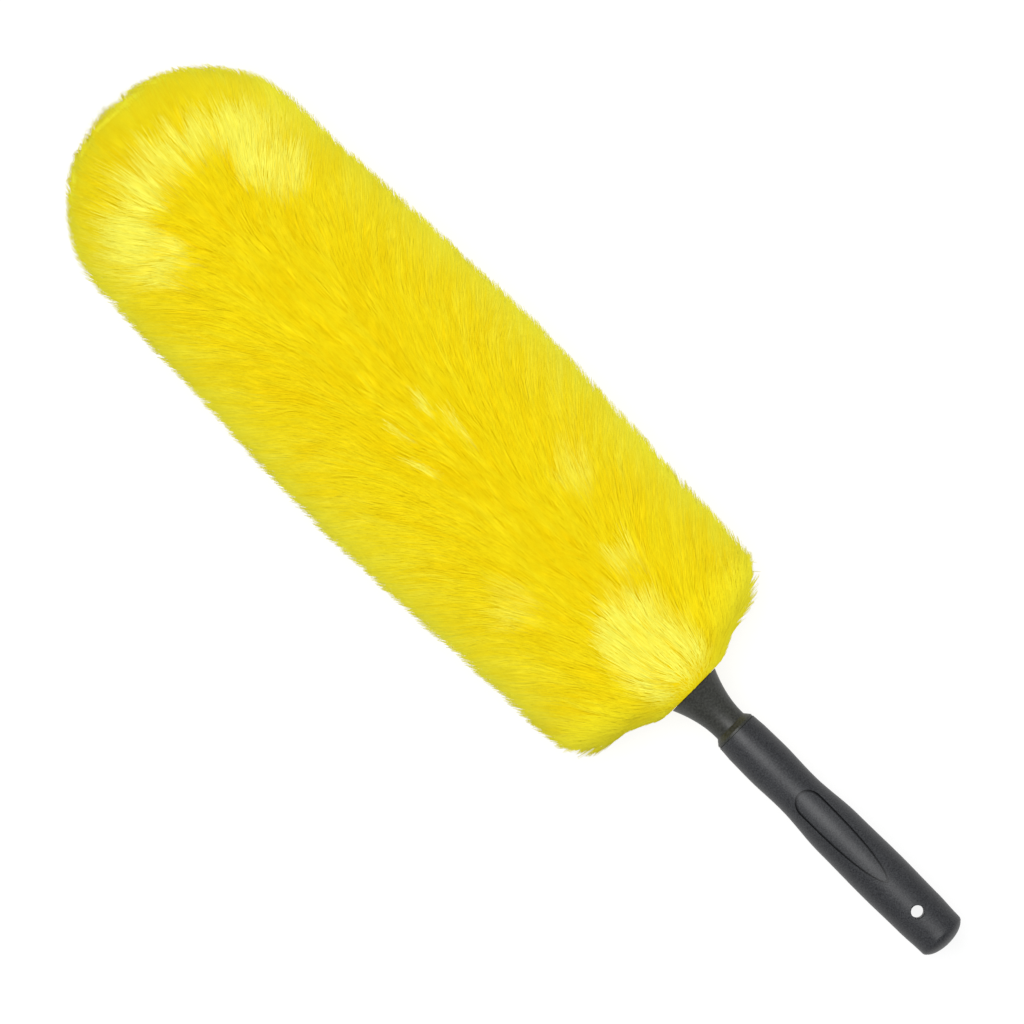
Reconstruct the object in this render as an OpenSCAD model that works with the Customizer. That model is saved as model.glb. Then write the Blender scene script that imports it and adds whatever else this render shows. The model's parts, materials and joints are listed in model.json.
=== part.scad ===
// Pull-off plush duster: a moulded handle, a sheathed wire loop and a washable pile sleeve.
// +Y runs from the handle to the tip, X is across the flat head and Z is up.
// The origin is the middle of the hanging hole, on the handle's axis.

/* [Overall] */
// Length from the handle's end to the tip of the pile
total_len = 629; // [600:1:680]
// Length of the grip with its end cap
grip_len = 159; // [150:1:165]
// Visible length of the flared neck beyond the grip
neck_len = 32; // [30:1:36]

/* [Grip] */
// Largest radius, under the palm
palm_r = 15; // [14.2:0.1:16]
// Radius at the waist, between thumb and neck
waist_r = 12.65; // [12.4:0.05:13]
// Thickness of the moulded wall
wall = 2.8; // [2:0.1:3]
// Distance of the hanging hole from the handle's end
hole_s = 24; // [22:0.5:30]
// Radius of the hanging hole
hole_r = 3.5; // [2.5:0.1:4]
// Length of the thumb recess
recess_len = 67; // [50:1:70]
// Width of the thumb recess
recess_w = 15; // [10:0.5:17]
// Depth of the groove round the thumb recess
groove_deep = 0.9; // [0.6:0.1:1.2]
// Depth of the pad inside the groove
pad_deep = 0.4; // [0.2:0.1:0.5]

/* [Neck] */
// Radius of the flare where it meets the pile
flare_r = 15.9; // [15:0.1:17]
// Radius of the neck at its narrowest
narrow_r = 9.75; // [9.7:0.05:10.5]

/* [Wire loop] */
// Diameter of the steel wire
wire_d = 4; // [3:0.1:4]
// Width of the loop between the middles of its legs
loop_w = 66; // [56:1:68]
// Outer diameter of the sheath
sheath_d = 8; // [6:0.1:8]

/* [Sleeve] */
// Width of the head at its widest
head_w = 156; // [140:1:170]
// Thickness of the head
head_h = 84; // [76:1:96]

/* [Hidden] */
$fn = 64;
black = [0.16, 0.16, 0.18];
olive_black = [0.15, 0.155, 0.14];
yellow = [0.94, 0.86, 0.08];

// grip
dome_s = 6.4;
cap_rim_s = 4.2;
cap_gap = 0.2;
cap_plug_s = 15;
end_r = 13.9;
hole_boss_r = 6.2;
hole_bevel = 0.6;
spigot_r = 9.6;
spigot_s = grip_len - 37;
grip_step = 4;
// middles of the shape's swells and hollows: [distance from the end, radius]
grip_keys = [
    [dome_s, end_r], [hole_s, palm_r - 0.4], [50, palm_r], [grip_len - 77, palm_r - 0.4],
    [grip_len - 45, waist_r], [grip_len - 23, waist_r + 0.65], [grip_len - 9, waist_r + 0.45],
    [grip_len, waist_r - 0.15]
];
recess_head_s = grip_len - 46;
recess_round = 0.13;
recess_power = 2.8;
recess_blunt = 0.6;
groove_w = 1.1;

// neck
neck_end_s = grip_len + neck_len;
collar_r = 12.2;
collar_s = grip_len + 1.5;
throat_s = grip_len + 4.5;
flare_s = grip_len + 7;
flare_power = 1.8;
groove_r = 12.5;
groove_len = 7;
flange_r = 15;
flange_len = 5;
flange_s = neck_end_s + groove_len;
nose_s = flange_s + flange_len;
core_r = 7;
core_end_s = grip_len + 17;

// wire loop
wire_r = wire_d / 2;
leg_x = 4.2;
wire_end_s = core_end_s - 32;
plug_s = wire_end_s + 6;
ferrule_r = 2.6;
bend_r = 18;
bend_angle = 50;
bend_side = 2 * bend_r * (1 - cos(bend_angle));
ramp_len = (loop_w / 2 - leg_x - bend_side) / sin(bend_angle);
bend_s = nose_s + 5;
straight_s = bend_s + 2 * bend_r * sin(bend_angle) + ramp_len * cos(bend_angle);
arc_s = total_len - 69;

// sleeve
mouth_s = neck_end_s + 0.4;
mouth_r = 21;
mouth_len = 25.5;
mouth_power = 1.75;
tip_len = 70;
head_end_w = 144;
lining_half = 43;
lining_h = 12;
lining_wall = 1.4;
lining_s = nose_s + 2;
lining_arc_s = total_len - 70;
hem_gap = 0.4;
hem_r = 20.2;
binding_w = 6;
binding_h = 2;
elastic_r = 0.9;
elastic_ring_r = groove_r + hem_gap + 1.6;
elastic_s = mouth_s + 3.2;
ring_sides = 44;
pile_rings = 30;
rod_sides = 14;
bend_steps = 7;
tip_steps = 20;

// a smooth swell between two key points, level at both
function swell(a, b, s) = a[1] + (b[1] - a[1]) * (1 - cos(180 * (s - a[0]) / (b[0] - a[0]))) / 2;
function grip_r(s, i = 0) =
    s < dome_s ? end_r * sqrt(1 - pow(1 - s / dome_s, 2)) : i >= len(grip_keys) - 2 || s <= grip_keys[i + 1][0]
        ? swell(grip_keys[i], grip_keys[i + 1], s)
        : grip_r(s, i + 1);
function flare(s) =
    narrow_r + (flare_r - narrow_r) * pow((s - flare_s) / (neck_end_s - flare_s), flare_power);

// outline of the thumb recess: a round end towards the neck and a narrower one towards the hole
function recess_half(u) =
    u < recess_round
        ? sqrt(1 - pow(1 - u / recess_round, 2))
        : pow(1 - pow((u - recess_round) / (1 - recess_round), recess_power), recess_blunt);

// half the width of the head, and half its height, at a distance from the handle's end
function mouth_blend(s) = 1 - pow(1 - min(1, (s - mouth_s) / mouth_len), mouth_power);
function tip_blend(s) =
    sqrt(max(0, 1 - pow(max(0, (s - total_len + tip_len) / tip_len), 2)));
function barrel(s) =
    pow(sin(180 * max(0, min(1, (s - mouth_s - mouth_len) / (total_len - tip_len - mouth_s - mouth_len)))), 2);
function head_half(s, low, high) =
    (mouth_r + (low + (high - low) * barrel(s) - mouth_r) * mouth_blend(s)) * tip_blend(s);
function head_x(s) = head_half(s, head_end_w / 2, head_w / 2);
function head_z(s) = head_half(s, head_h / 2 - 2, head_h / 2);

// turns a shape built up +Z from the handle's end into the part's frame
module along_y() {
    translate([0, -hole_s, 0]) rotate([-90, 0, 0]) children();
}

module ring_of(r_out, r_in, s0, s1) {
    along_y() translate([0, 0, s0]) difference() {
        cylinder(r = r_out, h = s1 - s0);
        translate([0, 0, -1]) cylinder(r = r_in, h = s1 - s0 + 2);
    }
}

// the grip's outer shape, or the same shape shrunk by inset
module grip_form(inset, s0, s1) {
    level_s = max(s0, dome_s);
    steps = ceil((s1 - level_s) / grip_step);
    along_y() rotate_extrude() polygon(concat(
        [[0, s0]],
        [if (s0 < dome_s) for (i = [0:3]) let (s = s0 + (dome_s - s0) * i / 4) [grip_r(s) - inset, s]],
        [for (i = [0:steps]) let (s = level_s + (s1 - level_s) * i / steps) [grip_r(s) - inset, s]],
        [[0, s1]]
    ));
}

// a prism over the recess, its outline moved in by inset
module recess_prism(inset) {
    steps = 28;
    long = recess_len - 2.4 * inset;
    top = recess_head_s - hole_s - inset;
    side = [for (i = [1:steps - 1]) let (u = (1 - cos(180 * i / steps)) / 2)
        [(recess_w / 2 - inset) * recess_half(u), top - long * u]];
    back = [for (i = [len(side) - 1:-1:0]) [-side[i][0], side[i][1]]];
    linear_extrude(height = 2 * palm_r, center = true)
        polygon(concat([[0, top]], side, [[0, top - long]], back));
}

module grip() {
    color(black) difference() {
        union() {
            difference() {
                grip_form(0, cap_rim_s, grip_len);
                grip_form(wall, cap_plug_s, spigot_s);
            }
            cylinder(r = hole_boss_r, h = 2 * (palm_r - wall), center = true);
        }
        // seats of the end cap's plug and of the neck's spigot
        along_y() translate([0, 0, cap_rim_s - 1]) cylinder(r = end_r - wall, h = cap_plug_s - cap_rim_s + 1);
        along_y() translate([0, 0, spigot_s - 1]) cylinder(r = spigot_r, h = grip_len - spigot_s + 2);
        // hanging hole with a small bevel at both mouths
        cylinder(r = hole_r, h = 3 * palm_r, center = true);
        for (turn = [0, 180]) rotate([0, turn, 0])
            translate([0, 0, grip_r(hole_s) - hole_bevel])
                cylinder(r1 = hole_r, r2 = hole_r + 3 * hole_bevel, h = 3 * hole_bevel);
        // thumb recess on the front and its twin on the back: a pad inside a groove
        difference() {
            recess_prism(0);
            grip_form(pad_deep, dome_s, grip_len - 1);
        }
        difference() {
            recess_prism(0);
            recess_prism(groove_w);
            grip_form(groove_deep, dome_s, grip_len - 1);
        }
    }
}

module end_cap() {
    steps = 10;
    rim_r = grip_r(cap_rim_s) - cap_gap;
    color(black) along_y() union() {
        rotate_extrude() polygon(concat(
            [for (i = [0:steps]) let (s = cap_rim_s * pow(i / steps, 2)) [rim_r / grip_r(cap_rim_s) * grip_r(s), s]],
            [[0, cap_rim_s]]
        ));
        difference() {
            translate([0, 0, cap_rim_s - 1]) cylinder(r = end_r - wall, h = cap_plug_s - cap_rim_s + 1);
            translate([0, 0, cap_rim_s]) cylinder(r = end_r - 2 * wall, h = cap_plug_s);
        }
    }
}

module neck_socket() {
    steps = 14;
    color(olive_black) difference() {
        along_y() rotate_extrude() polygon(concat(
            [[0, spigot_s], [spigot_r - 0.6, spigot_s], [spigot_r, spigot_s + 1.5], [spigot_r, grip_len]],
            [[collar_r - 0.3, grip_len], [collar_r, grip_len + 0.3], [collar_r, collar_s], [narrow_r, throat_s]],
            [for (i = [0:steps]) let (s = flare_s + (neck_end_s - flare_s) * i / steps) [flare(s), s]],
            [[groove_r, neck_end_s], [groove_r, flange_s], [flange_r, flange_s]],
            [[flange_r, nose_s - 2], [flange_r - 2, nose_s], [0, nose_s]]
        ));
        along_y() translate([0, 0, spigot_s - 1]) cylinder(r = core_r, h = core_end_s - spigot_s + 1);
        for (x = [-leg_x, leg_x])
            along_y() translate([x, 0, spigot_s]) cylinder(r = wire_r, h = nose_s - spigot_s + 1);
    }
}

module anchor_plug() {
    color("dimgray") difference() {
        ring_of(core_r, 0.9, plug_s, core_end_s);
        for (x = [-leg_x, leg_x])
            along_y() translate([x, 0, plug_s - 1]) cylinder(r = wire_r, h = core_end_s - plug_s + 2);
    }
}

// the loop's route from s0 on one leg, round the tip, to s0 on the other: [x, distance, heading]
function arc_steps(from, to, steps) = [for (i = [0:steps]) from + (to - from) * i / steps];
function right_leg(s0) = concat(
    [[leg_x, s0, 0]],
    [for (a = arc_steps(0, bend_angle, bend_steps))
        [leg_x + bend_r * (1 - cos(a)), bend_s + bend_r * sin(a), a]],
    [for (a = arc_steps(bend_angle, 0, bend_steps))
        [loop_w / 2 - bend_r * (1 - cos(a)), straight_s - bend_r * sin(a), a]]
);
function loop_route(s0) = let (leg = right_leg(s0), last = len(leg) - 1) concat(
    leg,
    [for (a = arc_steps(0, 180, tip_steps)) [loop_w / 2 * cos(a), arc_s + loop_w / 2 * sin(a), -a]],
    [for (i = [last:-1:0]) [-leg[i][0], leg[i][1], -leg[i][2] - 180]]
);

// a closed skin over rings of points, each ring with the same number of sides
module skin(rings) {
    sides = len(rings[0]);
    end = (len(rings) - 1) * sides;
    walls = [for (a = [0:sides:end - 1]) for (k = [0:sides - 1])
        let (n = (k + 1) % sides) each [[a + k, a + sides + n, a + sides + k], [a + k, a + n, a + sides + n]]];
    polyhedron(
        points = [for (ring = rings) each ring],
        faces = concat([[for (k = [sides - 1:-1:0]) k], [for (k = [0:sides - 1]) end + k]], walls)
    );
}

// a rod of radius r along the loop
module loop_rod(r, s0) {
    skin([for (p = loop_route(s0)) [for (k = [0:rod_sides - 1]) let (a = 360 * k / rod_sides)
        [p[0] + r * cos(a) * cos(p[2]), p[1] - hole_s - r * cos(a) * sin(p[2]), r * sin(a)]]]);
}

module wire_loop() {
    color("silver") loop_rod(wire_r, wire_end_s);
}

module wire_ferrules() {
    color("gainsboro") for (x = [-leg_x, leg_x])
        translate([x, 0, 0]) ring_of(ferrule_r, wire_r, wire_end_s + 0.5, plug_s);
}

module loop_sheath() {
    color("lightgray") difference() {
        loop_rod(sheath_d / 2, nose_s + 0.2);
        loop_rod(wire_r, nose_s - 1);
    }
}

// outline of the flat pocket: straight sides and a round tip
module pocket_form(inset, height, s0) {
    half = lining_half - inset;
    linear_extrude(height = height, center = true) translate([0, -hole_s]) {
        translate([-half, s0]) square([2 * half, lining_arc_s - s0]);
        translate([0, lining_arc_s]) circle(r = half, $fn = 96);
    }
}

module sleeve_lining() {
    color(yellow) difference() {
        pocket_form(0, lining_h, lining_s);
        pocket_form(lining_wall, lining_h - 2 * lining_wall, lining_s - 1);
    }
}

module side_binding() {
    color(yellow) difference() {
        pocket_form(-binding_w, binding_h, lining_s + 6);
        pocket_form(0, binding_h + 2, lining_s - 1);
    }
}

module hem_band() {
    color(yellow) difference() {
        along_y() rotate_extrude() polygon([
            [groove_r + hem_gap, mouth_s], [hem_r - 3, mouth_s], [hem_r, mouth_s + 3], [hem_r, lining_s - 0.3],
            [flange_r + hem_gap, lining_s - 0.3], [flange_r + hem_gap, flange_s - 0.7],
            [groove_r + hem_gap, flange_s - 0.7]
        ]);
        elastic_ring(elastic_r);
    }
}

module elastic_ring(r) {
    along_y() translate([0, 0, elastic_s]) rotate_extrude() translate([elastic_ring_r, 0]) circle(r = r, $fn = 24);
}

module hem_elastic() {
    color("ivory") elastic_ring(elastic_r);
}

// the whole pile as one closed form of oval rings
module pile_form() {
    stations = [for (i = [0:pile_rings]) let (t = i / pile_rings)
        mouth_s + (total_len - mouth_s) * (1 - cos(180 * t)) / 2 - (i == pile_rings ? 0.1 : 0)];
    skin([for (s = stations) [for (k = [0:ring_sides - 1]) let (a = 360 * k / ring_sides)
        [head_x(s) * cos(a), s - hole_s, head_z(s) * sin(a)]]]);
}

module pile_half(side) {
    color(yellow) difference() {
        intersection() {
            pile_form();
            translate([-head_w, -hole_s, side > 0 ? 0 : -head_h]) cube([2 * head_w, total_len + 1, head_h]);
        }
        pocket_form(0, lining_h, mouth_s - 1);
        pocket_form(-binding_w, binding_h, lining_s + 6);
        along_y() translate([0, 0, mouth_s - 2]) cylinder(r = hem_r + 0.3, h = lining_s - mouth_s + 2);
    }
}

module pile_front() {
    pile_half(1);
}

module pile_back() {
    pile_half(-1);
}

grip();
end_cap();
neck_socket();
anchor_plug();
wire_loop();
wire_ferrules();
loop_sheath();
sleeve_lining();
pile_front();
pile_back();
side_binding();
hem_band();
hem_elastic();
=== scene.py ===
import json
import math

import bmesh
import bpy
import numpy as np
from bpy.props import FloatProperty, FloatVectorProperty, IntProperty, PointerProperty
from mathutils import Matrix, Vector

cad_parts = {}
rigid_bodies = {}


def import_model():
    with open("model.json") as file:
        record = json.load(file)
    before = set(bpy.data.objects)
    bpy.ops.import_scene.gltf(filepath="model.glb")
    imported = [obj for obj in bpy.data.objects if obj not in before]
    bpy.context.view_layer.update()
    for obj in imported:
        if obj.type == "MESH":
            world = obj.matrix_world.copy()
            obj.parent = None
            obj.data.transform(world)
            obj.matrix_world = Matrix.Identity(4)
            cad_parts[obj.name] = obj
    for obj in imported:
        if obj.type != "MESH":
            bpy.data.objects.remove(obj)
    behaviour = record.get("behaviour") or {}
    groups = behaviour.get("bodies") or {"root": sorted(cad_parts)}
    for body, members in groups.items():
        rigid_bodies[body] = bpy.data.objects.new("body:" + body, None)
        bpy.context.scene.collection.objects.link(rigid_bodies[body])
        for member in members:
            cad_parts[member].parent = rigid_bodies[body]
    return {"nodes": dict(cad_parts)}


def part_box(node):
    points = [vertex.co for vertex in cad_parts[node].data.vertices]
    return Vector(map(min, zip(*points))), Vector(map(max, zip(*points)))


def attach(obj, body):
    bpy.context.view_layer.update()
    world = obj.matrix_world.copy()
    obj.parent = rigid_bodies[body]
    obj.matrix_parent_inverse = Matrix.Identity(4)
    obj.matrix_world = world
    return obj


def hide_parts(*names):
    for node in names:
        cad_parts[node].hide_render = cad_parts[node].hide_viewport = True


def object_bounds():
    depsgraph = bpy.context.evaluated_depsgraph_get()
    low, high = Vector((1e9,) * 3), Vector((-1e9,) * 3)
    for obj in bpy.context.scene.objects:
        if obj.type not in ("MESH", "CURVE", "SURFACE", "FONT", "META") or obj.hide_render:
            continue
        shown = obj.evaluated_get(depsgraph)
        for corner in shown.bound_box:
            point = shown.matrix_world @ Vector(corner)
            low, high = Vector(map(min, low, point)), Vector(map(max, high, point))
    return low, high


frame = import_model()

bl_info = {
    "name": "Plush duster",
    "version": (1, 0, 0),
    "blender": (4, 5, 0),
    "location": "3D View > Sidebar > Duster",
    "description": "Finishes, pile, hem and stage of a pull-off plush duster",
    "category": "Object",
}

for spare in [o for o in bpy.data.objects if o.name in ("Cube", "Light", "Camera")]:
    bpy.data.objects.remove(spare)
CAD_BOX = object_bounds()
MM = 0.001

# Places read from the frame, in metres: along Y from the grip to the tip
PILE_LOW, PILE_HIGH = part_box("pile_front")
MOUTH_Y, TIP_Y = PILE_LOW.y, PILE_HIGH.y
HEAD_HALF_W, HEAD_HALF_H = PILE_HIGH.x, PILE_HIGH.z
LINING_LOW, LINING_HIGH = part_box("sleeve_lining")
ELASTIC_LOW, ELASTIC_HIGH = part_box("hem_elastic")

# Patches of painted sheen on the pile, by the fibres' roots: across, along, half width, half length, strength
PAINTED_SHEEN_PATCHES = [
    (0 * MM, 190 * MM, 21 * MM, 38 * MM, 0.9),
    (-32 * MM, 524 * MM, 15 * MM, 27 * MM, 0.9),
    (33 * MM, 520 * MM, 15 * MM, 30 * MM, 1.0),
    (6 * MM, 367 * MM, 2.6 * MM, 9 * MM, 0.9),
    (9 * MM, 342 * MM, 2.6 * MM, 9 * MM, 0.9),
    (-11 * MM, 363 * MM, 2.4 * MM, 8 * MM, 0.7),
    (-14 * MM, 341 * MM, 2.6 * MM, 9 * MM, 0.8),
    (32 * MM, 285 * MM, 12 * MM, 15 * MM, 0.35),
    (-30 * MM, 255 * MM, 12 * MM, 15 * MM, 0.3),
    (20 * MM, 232 * MM, 8 * MM, 12 * MM, 0.4),
]
# The crescent of painted sheen near the tip: its arc's centre along Y, the arc's radius and half its width
CRESCENT_Y, CRESCENT_R, CRESCENT_HALF = 478 * MM, 73 * MM, 13 * MM


# ---------------------------------------------------------------- node graphs

class Sock:
    """A node's output, with arithmetic that adds Math nodes."""

    def __init__(self, graph, socket):
        self.graph, self.socket = graph, socket

    def _math(self, operation, *values):
        return self.graph.node("ShaderNodeMath", {"operation": operation}, dict(enumerate(values)))

    def __add__(self, other):
        return self._math("ADD", self, other)

    __radd__ = __add__

    def __sub__(self, other):
        return self._math("SUBTRACT", self, other)

    def __rsub__(self, other):
        return self._math("SUBTRACT", other, self)

    def __mul__(self, other):
        return self._math("MULTIPLY", self, other)

    __rmul__ = __mul__

    def __truediv__(self, other):
        return self._math("DIVIDE", self, other)

    def __pow__(self, other):
        return self._math("POWER", self, other)

    def clamped(self):
        return self.graph.node("ShaderNodeClamp", {}, {"Value": self})

    def sibling(self, name):
        """Another output of the same node."""
        return Sock(self.graph, self.socket.node.outputs[name])


class Graph:
    """Adds nodes to a tree and links them."""

    def __init__(self, tree):
        self.tree = tree

    def node(self, kind, settings=None, values=None, out=0):
        made = self.tree.nodes.new(kind)
        for name, value in (settings or {}).items():
            setattr(made, name, value)
        for key, value in (values or {}).items():
            self._feed(self._socket(made.inputs, key), value)
        return Sock(self, self._socket(made.outputs, out))

    @staticmethod
    def _socket(sockets, key):
        if isinstance(key, int):
            return [s for s in sockets if s.enabled][key]
        return next(s for s in sockets if s.name == key and s.enabled)

    def _feed(self, socket, value):
        if isinstance(value, Sock):
            self.tree.links.new(value.socket, socket)
        else:
            socket.default_value = value

    def vector(self, operation, *values):
        return self.node("ShaderNodeVectorMath", {"operation": operation}, dict(enumerate(values)))

    def scaled(self, vector, factor):
        return self.node("ShaderNodeVectorMath", {"operation": "SCALE"}, {0: vector, "Scale": factor})

    def mix(self, factor, a, b):
        return self.node("ShaderNodeMix", {"data_type": "RGBA"}, {"Factor": factor, "A": a, "B": b})

    def noise(self, vector, scale, detail=2.0, roughness=0.5):
        return self.node("ShaderNodeTexNoise", {}, {
            "Vector": vector, "Scale": scale, "Detail": detail, "Roughness": roughness})


def new_material(name):
    """A material with a Principled shader, and its graph and the shader's sockets."""
    material = bpy.data.materials.new(name)
    material.use_nodes = True
    tree = material.node_tree
    shader = tree.nodes["Principled BSDF"]
    return material, Graph(tree), shader


def link(graph, value, shader, name):
    graph.tree.links.new(value.socket, shader.inputs[name])


def place(graph, stretch=(1.0, 1.0, 1.0)):
    """Object coordinates, stretched along the axes."""
    coordinates = graph.node("ShaderNodeTexCoord", out="Object")
    return graph.node("ShaderNodeMapping", {}, {"Vector": coordinates, "Scale": stretch})


# ---------------------------------------------------------------- materials

# Plastic: how far its grain and broad marks draw it to the lighter colour, and how far painted shade darkens
# its corners
GRAIN_PULL, MARKS_PULL, PULL_START = 2.8, 0.9, 1.4
PAINTED_SHADE_REACH, PAINTED_SHADE_GAIN, PAINTED_SHADE_START, PAINTED_SHADE_SHARE = 2.5 * MM, 1.7, 0.6, 0.25
SURFACE_RELIEF, STREAK_RELIEF = 0.3 * MM, 0.6 * MM
# Scale of a wave texture, times the pitch, that puts one thread in each pitch
THREAD_WAVE = 0.31
# Pile: how far reach and shade draw a fibre from the root colour to the main one, and how far painted light
# on the parts facing to the side draws it to a lighter, greener colour
REACH_PULL, SHADE_PULL, ROOT_HOLD, PAINTED_OUTLINE_PULL = 0.55, 0.9, 0.2, 1.6
# Dense pile: the same for its streaks and clouds
STREAK_PULL, CLOUD_PULL, BASE_HOLD = 0.9, 0.4, 0.15


def opaque(colour):
    return [*colour, 1.0]


def shaded(colour, share):
    """The colour at a share of its brightness."""
    return opaque([c * share for c in colour[:3]])


def raised(graph, height, shader, strength, distance):
    """Raises the surface by height."""
    bump = graph.node("ShaderNodeBump", {}, {"Strength": strength, "Distance": distance, "Height": height})
    link(graph, bump, shader, "Normal")


def plastic(name, colour, lighter, roughness, grain=900.0, bump=0.12):
    """Moulded plastic with a fine spark-eroded grain, faint handling marks and painted shade in its corners
    and recesses.
    """
    material, graph, shader = new_material(name)
    fine = graph.noise(place(graph), grain, 3.0, 0.6)
    broad = graph.noise(place(graph, (1.0, 0.3, 1.0)), 60.0, 4.0, 0.6)
    # Painted shade: ambient occlusion darkens corners and recesses towards a quarter of the colour
    corner_occlusion = graph.node("ShaderNodeAmbientOcclusion", {"only_local": True, "samples": 8},
                          {"Distance": PAINTED_SHADE_REACH}, out="AO")
    body = graph.mix((broad * MARKS_PULL + fine * GRAIN_PULL - PULL_START).clamped(), colour, lighter)
    unshaded_share = (corner_occlusion * PAINTED_SHADE_GAIN - PAINTED_SHADE_START).clamped()
    link(graph, graph.mix(unshaded_share, shaded(colour, PAINTED_SHADE_SHARE), body), shader, "Base Color")
    link(graph, roughness - 0.08 + broad * 0.1 + fine * 0.08, shader, "Roughness")
    raised(graph, fine, shader, bump, SURFACE_RELIEF)
    shader.inputs["Specular IOR Level"].default_value = 0.36
    return material


def metal(name, colour, roughness):
    """Drawn metal with marks along its length."""
    material, graph, shader = new_material(name)
    drawn = graph.noise(place(graph, (1.0, 0.05, 1.0)), 2500.0, 2.0)
    link(graph, graph.mix(drawn, colour, shaded(colour, 0.8)), shader, "Base Color")
    link(graph, roughness + drawn * 0.15, shader, "Roughness")
    shader.inputs["Metallic"].default_value = 1.0
    return material


def woven(name, colour, deeper, pitch):
    """Plain woven cloth: crossed threads in colour and relief."""
    material, graph, shader = new_material(name)
    look = {"Vector": place(graph), "Scale": THREAD_WAVE / pitch, "Distortion": 0.6, "Detail": 1.0}
    waves = [
        graph.node("ShaderNodeTexWave", {"bands_direction": axis, "wave_profile": "SIN"}, look, out="Fac")
        for axis in ("X", "Y")
    ]
    threads = waves[0] * waves[1]
    link(graph, graph.mix(threads, deeper, colour), shader, "Base Color")
    raised(graph, threads, shader, 0.6, SURFACE_RELIEF)
    shader.inputs["Roughness"].default_value = 0.9
    shader.inputs["Sheen Weight"].default_value = 0.3
    return material


def rubbery(name, colour):
    """Covered elastic: fine ribs across its length."""
    material, graph, shader = new_material(name)
    ribs = graph.noise(place(graph), 1400.0, 2.0)
    link(graph, graph.mix(ribs, colour, shaded(colour, 0.8)), shader, "Base Color")
    link(graph, 0.7 + ribs * 0.2, shader, "Roughness")
    return material


def painted_glow(graph, shader, looks, colour, light=None):
    """Gives the pile its colour, and painted light: an emission of the given light's colour, else of its own,
    that lifts the pile's shade.
    """
    link(graph, colour, shader, "Base Color")
    link(graph, light or colour, shader, "Emission Color")
    shader.inputs["Emission Strength"].default_value = looks.painted_glow_strength
    shader.inputs["Specular IOR Level"].default_value = 0.03


def pile_fibre(looks):
    """Yellow pile: deeper at the root in painted shade, streaked, paler in patches and streaks of painted
    sheen, and lighter along its outline in painted light.
    """
    material, graph, shader = new_material("yellow_pile_fibre")
    reach, shade, pale, fringe = (graph.node("ShaderNodeAttribute", {"attribute_name": name}, out="Fac")
                                  for name in ("reach", "shade", "pale", "fringe"))
    # Painted shade: the deeper root colour where a fibre's reach is short
    body = graph.mix((reach * REACH_PULL + shade * SHADE_PULL - ROOT_HOLD).clamped(),
                     opaque(looks.root_shade_colour), opaque(looks.pile_colour))
    # Painted light: a lighter, greener colour where the pile faces to the side
    body = graph.mix((fringe * PAINTED_OUTLINE_PULL).clamped(), body, opaque(looks.fringe_colour))
    # Painted sheen: the pale colour in patches and streaks
    colour = graph.mix(pale, body, opaque(looks.painted_sheen_colour))
    # Painted light given off, brighter along the outline
    painted_glow(graph, shader, looks, colour, graph.mix(fringe, colour, opaque(looks.fringe_light)))
    link(graph, 0.8 - pale * 0.1, shader, "Roughness")
    return material


def pile_base(looks):
    """The dense pile under the loose ends, streaked along its lie between the root colour's painted shade and
    the main colour.
    """
    material, graph, shader = new_material("yellow_pile_base")
    streaks = graph.noise(place(graph, (1.0, 0.25, 1.0)), 420.0, 4.0, 0.65)
    clouds = graph.noise(place(graph), 45.0, 2.0)
    colour = graph.mix((streaks * STREAK_PULL + clouds * CLOUD_PULL - BASE_HOLD).clamped(),
                       opaque(looks.root_shade_colour), opaque(looks.pile_colour))
    # Painted light: the dense pile gives off a share of its own colour
    painted_glow(graph, shader, looks, colour)
    raised(graph, streaks, shader, 0.5, STREAK_RELIEF)
    shader.inputs["Roughness"].default_value = 0.9
    return material


# ---------------------------------------------------------------- mesh helpers

# Points of a mesh nearer than this are one point
MERGED = 0.004 * MM


def ease(t):
    """A smooth step from 0 to 1."""
    t = min(1.0, max(0.0, t))
    return t * t * (3 - 2 * t)


def squared(value, power):
    """The value's power, with the value's own sign."""
    return math.copysign(abs(value) ** power, value)


def directions(sides, start=0.0, turn=math.tau):
    """The cosine and sine at each step of a turn, both ends included."""
    angles = [start + turn * k / sides for k in range(sides + 1)]
    return [(math.cos(angle), math.sin(angle)) for angle in angles]


def stations(start, end, count):
    """Places from start to end, closer together at both ends."""
    return [start + (end - start) * (1 - math.cos(math.pi * i / count)) / 2 for i in range(count + 1)]


def in_scene(name, mesh):
    """A smooth object of the mesh, in the scene."""
    mesh.polygons.foreach_set("use_smooth", [True] * len(mesh.polygons))
    piece = bpy.data.objects.new(name, mesh)
    bpy.context.scene.collection.objects.link(piece)
    return piece


def new_piece(name, mesh_maker, material=None):
    """A smooth mesh object whose faces come from mesh_maker(bm), closed and facing outwards."""
    bm = bmesh.new()
    mesh_maker(bm)
    bmesh.ops.remove_doubles(bm, verts=bm.verts, dist=MERGED)
    bmesh.ops.recalc_face_normals(bm, faces=bm.faces)
    mesh = bpy.data.meshes.new(name)
    bm.to_mesh(mesh)
    bm.free()
    if material:
        mesh.materials.append(material)
    return in_scene(name, mesh)


def set_attribute(mesh, name, values, kind="FLOAT", domain="POINT"):
    """Stores a value, or the three numbers of a vector, for each point or face."""
    field = "vector" if kind == "FLOAT_VECTOR" else "value"
    mesh.attributes.new(name, kind, domain).data.foreach_set(field, values)


def loft(bm, rings, around=True, along=False):
    """Quads between rows of points, closed around each row, and from the last row to the first."""
    rows = [[bm.verts.new(p) for p in ring] for ring in rings]
    for a, b in zip(rows, rows[1:] + rows[:1] if along else rows[1:]):
        for k in range(len(a) if around else len(a) - 1):
            n = (k + 1) % len(a)
            bm.faces.new((a[k], a[n], b[n], b[k]))
    return rows


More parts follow.
